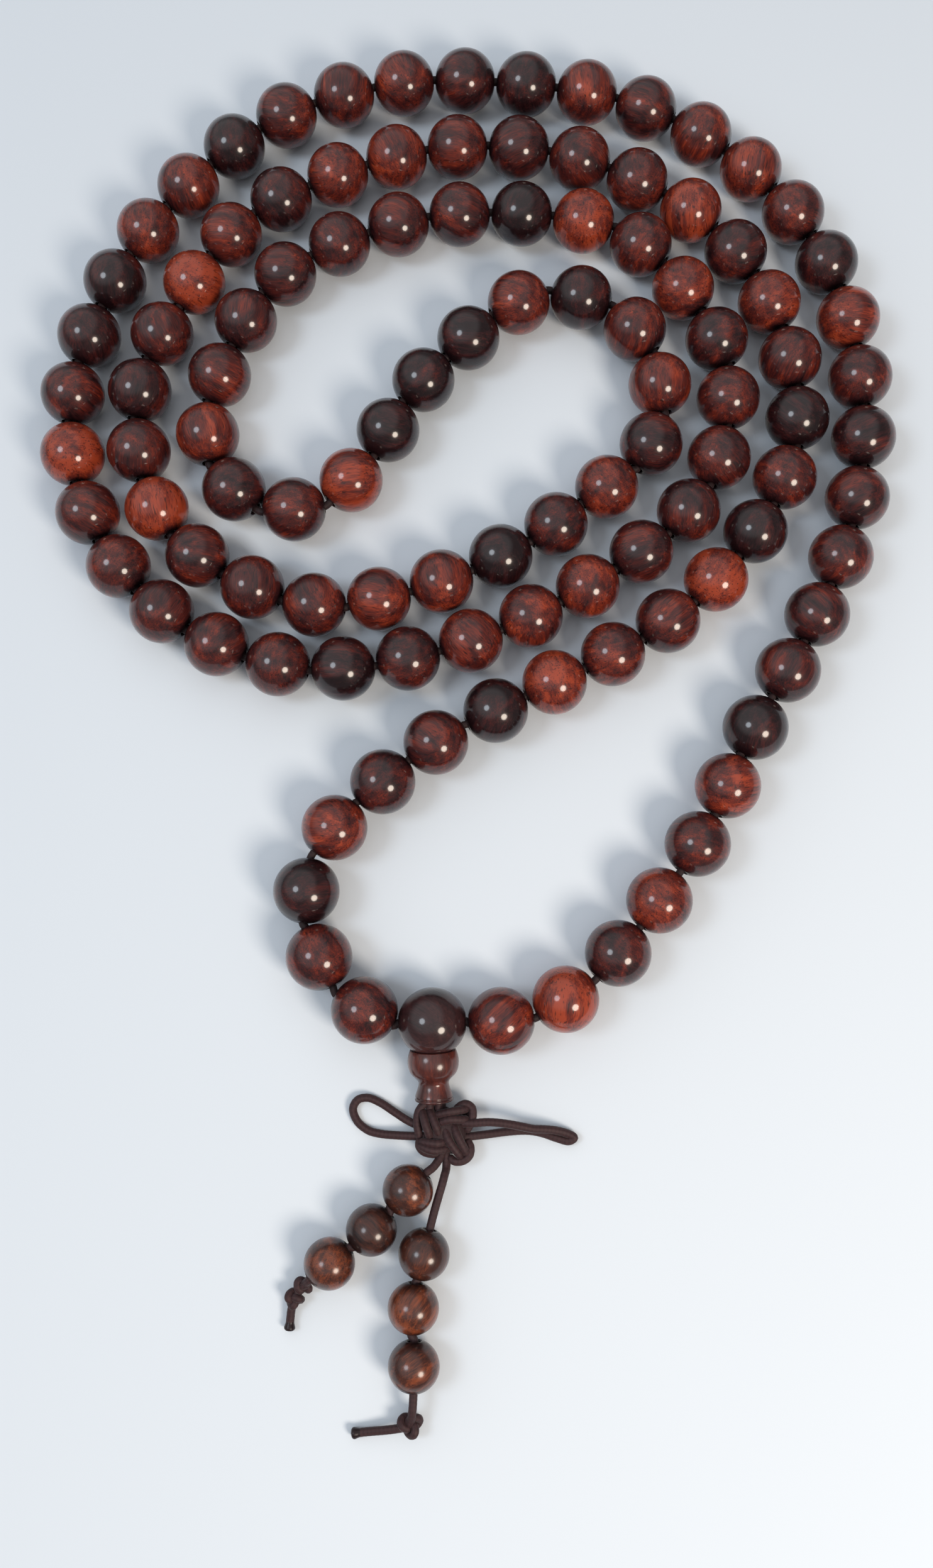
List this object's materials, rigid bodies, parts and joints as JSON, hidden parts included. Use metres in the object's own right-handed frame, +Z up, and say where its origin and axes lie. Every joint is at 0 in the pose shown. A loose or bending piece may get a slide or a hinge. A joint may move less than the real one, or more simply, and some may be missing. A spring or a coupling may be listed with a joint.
{
  "type": "mala prayer beads",
  "caption": "Closed strand of polished wooden prayer beads laid in rings, with a guru bead, tower bead, knotted cord pendant and two strings of counter beads.",
  "frame": {"origin": "middle of the box of the object without its tail cords and end knots, on the surface it lies on", "axes": "+Z up from the surface, +Y from the pendant towards the rings, +X to the right seen from above with the pendant nearest"},
  "size_m": [0.1084, 0.174, 0.0082],
  "materials": {
    "strand_bead_wood": "polished red wood",
    "guru_bead_wood": "polished very dark wood",
    "tower_bead_wood": "polished, turned",
    "counter_bead_wood": "polished brown wood",
    "strand_cord": "thin cord",
    "braided_cord": "fine braid"
  },
  "bodies": {
    "rings": {"strand_beads_8_to_12": "strand_bead_wood", "strand_beads_13_to_17": "strand_bead_wood", "strand_beads_18_to_22": "strand_bead_wood", "strand_beads_23_to_27": "strand_bead_wood", "strand_beads_28_to_32": "strand_bead_wood", "strand_beads_33_to_37": "strand_bead_wood", "strand_beads_38_to_42": "strand_bead_wood", "strand_beads_43_to_47": "strand_bead_wood", "strand_beads_48_to_52": "strand_bead_wood", "strand_beads_53_to_57": "strand_bead_wood", "strand_beads_58_to_62": "strand_bead_wood", "strand_beads_63_to_67": "strand_bead_wood", "strand_beads_68_to_72": "strand_bead_wood", "strand_beads_73_to_77": "strand_bead_wood", "strand_beads_78_to_82": "strand_bead_wood", "strand_beads_83_to_87": "strand_bead_wood", "strand_beads_88_to_92": "strand_bead_wood", "strand_beads_93_to_97": "strand_bead_wood", "strand_beads_98_to_102": "strand_bead_wood", "strand_cord_rings": "strand_cord"},
    "loop_upper": {"strand_cord_upper_left": "strand_cord", "strand_cord_upper_right": "strand_cord"},
    "loop_middle": {"strand_cord_middle_left": "strand_cord", "strand_cord_middle_right": "strand_cord"},
    "loop_lower": {"strand_cord_lower": "strand_cord"},
    "strand_bead_5": {"strand_bead_5": "strand_bead_wood"},
    "strand_bead_6": {"strand_bead_6": "strand_bead_wood"},
    "strand_bead_7": {"strand_bead_7": "strand_bead_wood"},
    "strand_bead_103": {"strand_bead_103": "strand_bead_wood"},
    "strand_bead_104": {"strand_bead_104": "strand_bead_wood"},
    "strand_bead_105": {"strand_bead_105": "strand_bead_wood"},
    "strand_bead_3": {"strand_bead_3": "strand_bead_wood"},
    "strand_bead_4": {"strand_bead_4": "strand_bead_wood"},
    "strand_bead_106": {"strand_bead_106": "strand_bead_wood"},
    "strand_bead_107": {"strand_bead_107": "strand_bead_wood"},
    "strand_bead_1": {"strand_bead_1": "strand_bead_wood"},
    "strand_bead_2": {"strand_bead_2": "strand_bead_wood"},
    "strand_bead_108": {"strand_bead_108": "strand_bead_wood"},
    "pendant": {"guru_bead": "guru_bead_wood", "pendant_cord": "braided_cord", "pendant_knot": "braided_cord", "ear_loop_left": "braided_cord", "ear_loop_right": "braided_cord"},
    "tower": {"tower_bead": "tower_bead_wood"},
    "tail_left": {"tail_cord_left": "braided_cord", "end_knot_left": "braided_cord"},
    "counter_left_1": {"counter_bead_left_1": "counter_bead_wood"},
    "counter_left_2": {"counter_bead_left_2": "counter_bead_wood"},
    "counter_left_3": {"counter_bead_left_3": "counter_bead_wood"},
    "tail_right": {"tail_cord_right": "braided_cord", "end_knot_right": "braided_cord"},
    "counter_right_1": {"counter_bead_right_1": "counter_bead_wood"},
    "counter_right_2": {"counter_bead_right_2": "counter_bead_wood"},
    "counter_right_3": {"counter_bead_right_3": "counter_bead_wood"}
  },
  "joints": [
    {"name": "loop_fold_upper", "type": "hinge", "parent": "rings", "child": "loop_upper", "pos_m": [0.01795, -0.00509, 0.004], "axis": [-0.9974, -0.0717, 0], "range_deg": [0, 25]},
    {"name": "loop_fold_middle", "type": "hinge", "parent": "loop_upper", "child": "loop_middle", "pos_m": [0.00256, -0.02364, 0.004], "axis": [-0.998, 0.0626, 0], "range_deg": [0, 25]},
    {"name": "loop_fold_lower", "type": "hinge", "parent": "loop_middle", "child": "loop_lower", "pos_m": [-0.00137, -0.03803, 0.004], "axis": [-0.9997, -0.025, 0], "range_deg": [0, 25]},
    {"name": "turn_strand_bead_5", "type": "hinge", "parent": "loop_upper", "child": "strand_bead_5", "pos_m": [0.02703, -0.02156, 0.004], "axis": [0.5511, 0.8344, 0], "continuous": true},
    {"name": "turn_strand_bead_6", "type": "hinge", "parent": "loop_upper", "child": "strand_bead_6", "pos_m": [0.03099, -0.01452, 0.004], "axis": [0.4265, 0.9045, 0], "continuous": true},
    {"name": "turn_strand_bead_7", "type": "hinge", "parent": "loop_upper", "child": "strand_bead_7", "pos_m": [0.03468, -0.00733, 0.004], "axis": [0.4973, 0.8676, 0], "continuous": true},
    {"name": "turn_strand_bead_103", "type": "hinge", "parent": "loop_upper", "child": "strand_bead_103", "pos_m": [-0.00446, -0.00859, 0.004], "axis": [-0.8487, -0.5289, 0], "continuous": true},
    {"name": "turn_strand_bead_104", "type": "hinge", "parent": "loop_upper", "child": "strand_bead_104", "pos_m": [-0.01098, -0.01335, 0.004], "axis": [-0.7842, -0.6205, 0], "continuous": true},
    {"name": "turn_strand_bead_105", "type": "hinge", "parent": "loop_upper", "child": "strand_bead_105", "pos_m": [-0.01687, -0.01889, 0.004], "axis": [-0.6435, -0.7655, 0], "continuous": true},
    {"name": "turn_strand_bead_3", "type": "hinge", "parent": "loop_middle", "child": "strand_bead_3", "pos_m": [0.017, -0.03453, 0.004], "axis": [0.6654, 0.7464, 0], "continuous": true},
    {"name": "turn_strand_bead_4", "type": "hinge", "parent": "loop_middle", "child": "strand_bead_4", "pos_m": [0.02216, -0.02831, 0.004], "axis": [0.6145, 0.7889, 0], "continuous": true},
    {"name": "turn_strand_bead_106", "type": "hinge", "parent": "loop_middle", "child": "strand_bead_106", "pos_m": [-0.02025, -0.0265, 0.004], "axis": [-0.1132, -0.9936, 0], "continuous": true},
    {"name": "turn_strand_bead_107", "type": "hinge", "parent": "loop_middle", "child": "strand_bead_107", "pos_m": [-0.01872, -0.03443, 0.004], "axis": [0.4214, -0.9069, 0], "continuous": true},
    {"name": "turn_strand_bead_1", "type": "hinge", "parent": "loop_lower", "child": "strand_bead_1", "pos_m": [0.00288, -0.04227, 0.004], "axis": [0.9985, 0.0544, 0], "continuous": true},
    {"name": "turn_strand_bead_2", "type": "hinge", "parent": "loop_lower", "child": "strand_bead_2", "pos_m": [0.01059, -0.03985, 0.004], "axis": [0.8584, 0.5129, 0], "continuous": true},
    {"name": "turn_strand_bead_108", "type": "hinge", "parent": "loop_lower", "child": "strand_bead_108", "pos_m": [-0.01333, -0.04077, 0.004], "axis": [0.8749, -0.4843, 0], "continuous": true},
    {"name": "pendant_lift", "type": "hinge", "parent": "loop_lower", "child": "pendant", "pos_m": [-0.00529, -0.04229, 0.0041], "axis": [-0.9999, -0.013, 0], "range_deg": [0, 75]},
    {"name": "turn_tower", "type": "hinge", "parent": "pendant", "child": "tower", "pos_m": [-0.00525, -0.04721, 0.00319], "axis": [0.0086, -0.9832, -0.1822], "continuous": true},
    {"name": "tail_swing_left", "type": "hinge", "parent": "pendant", "child": "tail_left", "pos_m": [-0.00529, -0.05939, 0.002], "axis": [0, 0, 1], "range_deg": [-18, 0]},
    {"name": "turn_counter_left_1", "type": "hinge", "parent": "tail_left", "child": "counter_left_1", "pos_m": [-0.00839, -0.06169, 0.003], "axis": [-0.7413, -0.6712, 0], "continuous": true},
    {"name": "turn_counter_left_2", "type": "hinge", "parent": "tail_left", "child": "counter_left_2", "pos_m": [-0.01269, -0.06609, 0.003], "axis": [-0.7506, -0.6608, 0], "continuous": true},
    {"name": "turn_counter_left_3", "type": "hinge", "parent": "tail_left", "child": "counter_left_3", "pos_m": [-0.01759, -0.06979, 0.003], "axis": [-0.7909, -0.612, 0], "continuous": true},
    {"name": "tail_swing_right", "type": "hinge", "parent": "pendant", "child": "tail_right", "pos_m": [-0.00389, -0.05939, 0.002], "axis": [0, 0, 1], "range_deg": [0, 25]},
    {"name": "turn_counter_right_1", "type": "hinge", "parent": "tail_right", "child": "counter_right_1", "pos_m": [-0.00659, -0.06889, 0.003], "axis": [-0.2499, -0.9683, 0], "continuous": true},
    {"name": "turn_counter_right_2", "type": "hinge", "parent": "tail_right", "child": "counter_right_2", "pos_m": [-0.00789, -0.07489, 0.003], "axis": [-0.1043, -0.9945, 0], "continuous": true},
    {"name": "slide_counter_right_3", "type": "slide", "parent": "tail_right", "child": "counter_right_3", "axis": [-0.0231, -0.9997, 0], "range_m": [0, 0.0015]}
  ]
}
